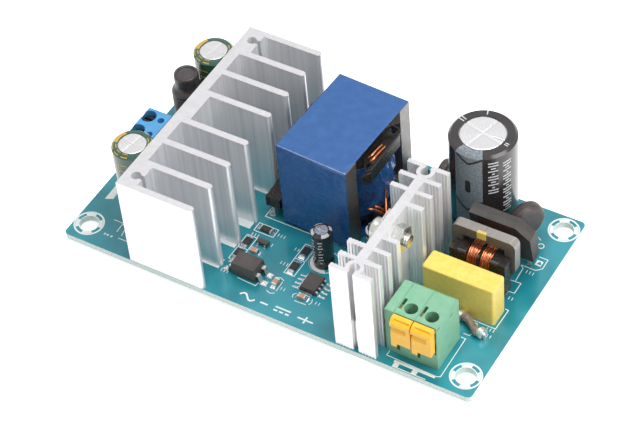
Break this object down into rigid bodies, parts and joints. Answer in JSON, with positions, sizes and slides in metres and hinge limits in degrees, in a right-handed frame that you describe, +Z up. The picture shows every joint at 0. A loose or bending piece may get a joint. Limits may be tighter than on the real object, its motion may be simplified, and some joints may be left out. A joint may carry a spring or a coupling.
{
  "type": "power supply module",
  "caption": "Open circuit board power supply module with a large comb heatsink, taped transformer, capacitors, a screw output terminal and a lever input terminal.",
  "frame": {"origin": "under the middle of the board, on the plane of the trimmed lead tips", "axes": "+X along the board to the mains input terminal, +Y across it to the edge with the large capacitor, +Z up out of the component side"},
  "size_m": [0.107, 0.0574, 0.0301],
  "materials": {
    "board_mask": "satin solder mask",
    "solder_tin": "bright solder",
    "extruded_aluminium": "mill finish",
    "pin_tin": "tin plated",
    "pad_grey": "silicone pad",
    "device_metal": "tin plated copper",
    "device_epoxy": "moulded epoxy",
    "screw_zinc": "zinc plated",
    "ferrite": "ground ferrite",
    "blue_tape": "polyester tape",
    "bobbin_black": "moulded phenolic",
    "enamelled_copper": "enamelled wire",
    "yellow_wrap": "polyester tape",
    "can_aluminium": "satin can",
    "sleeve_black": "printed sleeve",
    "sleeve_green": "printed sleeve",
    "shrink_black": "shrink tube",
    "film_yellow": "moulded box",
    "bridge_epoxy": "moulded epoxy",
    "thermistor_coat": "dipped coating",
    "safety_coat": "dipped coating",
    "resistor_coat": "lacquer",
    "chip_ceramic": "fired ceramic",
    "chip_glass": "glazed top",
    "green_nylon": "moulded nylon",
    "orange_nylon": "moulded nylon",
    "contact_brass": "plated spring strip",
    "blue_nylon": "moulded nylon",
    "cage_steel": "zinc plated"
  },
  "bodies": {
    "module": {"circuit_board": "board_mask", "solder_joints": "solder_tin", "output_heatsink": "extruded_aluminium", "switch_heatsink": "extruded_aluminium", "heatsink_pins": "pin_tin", "insulating_pads": "pad_grey", "rectifier_frame": "device_metal", "rectifier_case": "device_epoxy", "rectifier_screw": "screw_zinc", "transistor_frame": "device_metal", "transistor_case": "device_epoxy", "transistor_screw": "screw_zinc", "transistor_nut": "screw_zinc", "transformer_core": "ferrite", "transformer_core_tape": "blue_tape", "transformer_bobbin": "bobbin_black", "transformer_winding": "enamelled_copper", "transformer_winding_tape": "blue_tape", "transformer_wires": "enamelled_copper", "bobbin_pins": "pin_tin", "choke_core": "ferrite", "choke_bobbin": "bobbin_black", "choke_windings": "enamelled_copper", "choke_wrap": "yellow_wrap", "bulk_capacitor_can": "can_aluminium", "bulk_capacitor_sleeve": "sleeve_black", "output_capacitors_can": "can_aluminium", "output_capacitors_sleeve": "sleeve_green", "small_capacitors_can": "can_aluminium", "small_capacitors_sleeve": "sleeve_black", "rod_inductor_core": "ferrite", "rod_inductor_winding": "enamelled_copper", "rod_inductor_sleeve": "shrink_black", "film_capacitor": "film_yellow", "bridge_rectifier": "bridge_epoxy", "bridge_legs": "pin_tin", "thermistor": "thermistor_coat", "safety_capacitor": "safety_coat", "fusible_resistor": "resistor_coat", "fusible_resistor_ends": "pin_tin", "wire_leads": "pin_tin", "optocoupler": "device_epoxy", "control_chip": "device_epoxy", "small_transistor": "device_epoxy", "package_leads": "pin_tin", "chip_resistors": "chip_glass", "chip_capacitors": "chip_ceramic", "chip_ends": "solder_tin", "input_terminal_housing": "green_nylon", "input_contacts": "contact_brass", "output_terminal_housing": "blue_nylon", "output_busbars": "pin_tin"},
    "lever_1": {"input_lever_1": "orange_nylon"},
    "lever_2": {"input_lever_2": "orange_nylon"},
    "screw_1": {"output_screw_1": "screw_zinc"},
    "screw_2": {"output_screw_2": "screw_zinc"},
    "cage_1": {"output_cage_1": "cage_steel"},
    "cage_2": {"output_cage_2": "cage_steel"}
  },
  "joints": [
    {"name": "lever_1_press", "type": "hinge", "parent": "module", "child": "lever_1", "pos_m": [0.03572, -0.0247, 0.0162], "axis": [1, 0, 0], "range_deg": [0, 12], "stiffness_Nm_per_rad": 0.05, "springref_deg": -5.73},
    {"name": "lever_2_press", "type": "hinge", "parent": "module", "child": "lever_2", "pos_m": [0.0408, -0.0247, 0.0162], "axis": [1, 0, 0], "range_deg": [0, 12], "stiffness_Nm_per_rad": 0.05, "springref_deg": -5.73},
    {"name": "screw_1_turn", "type": "hinge", "parent": "module", "child": "screw_1", "pos_m": [-0.0502, -0.00024, 0.0111], "axis": [0, 0, -1], "range_deg": [0, 1224]},
    {"name": "cage_1_rise", "type": "slide", "parent": "module", "child": "cage_1", "axis": [0, 0, 1], "range_m": [0, 0.0017]},
    {"name": "screw_2_turn", "type": "hinge", "parent": "module", "child": "screw_2", "pos_m": [-0.0502, 0.00484, 0.0111], "axis": [0, 0, -1], "range_deg": [0, 1224]},
    {"name": "cage_2_rise", "type": "slide", "parent": "module", "child": "cage_2", "axis": [0, 0, 1], "range_m": [0, 0.0017]}
  ],
  "couplings": [
    {"joint": "screw_1_turn", "follows": "cage_1_rise", "rad_per_m": 12566},
    {"joint": "screw_2_turn", "follows": "cage_2_rise", "rad_per_m": 12566}
  ]
}
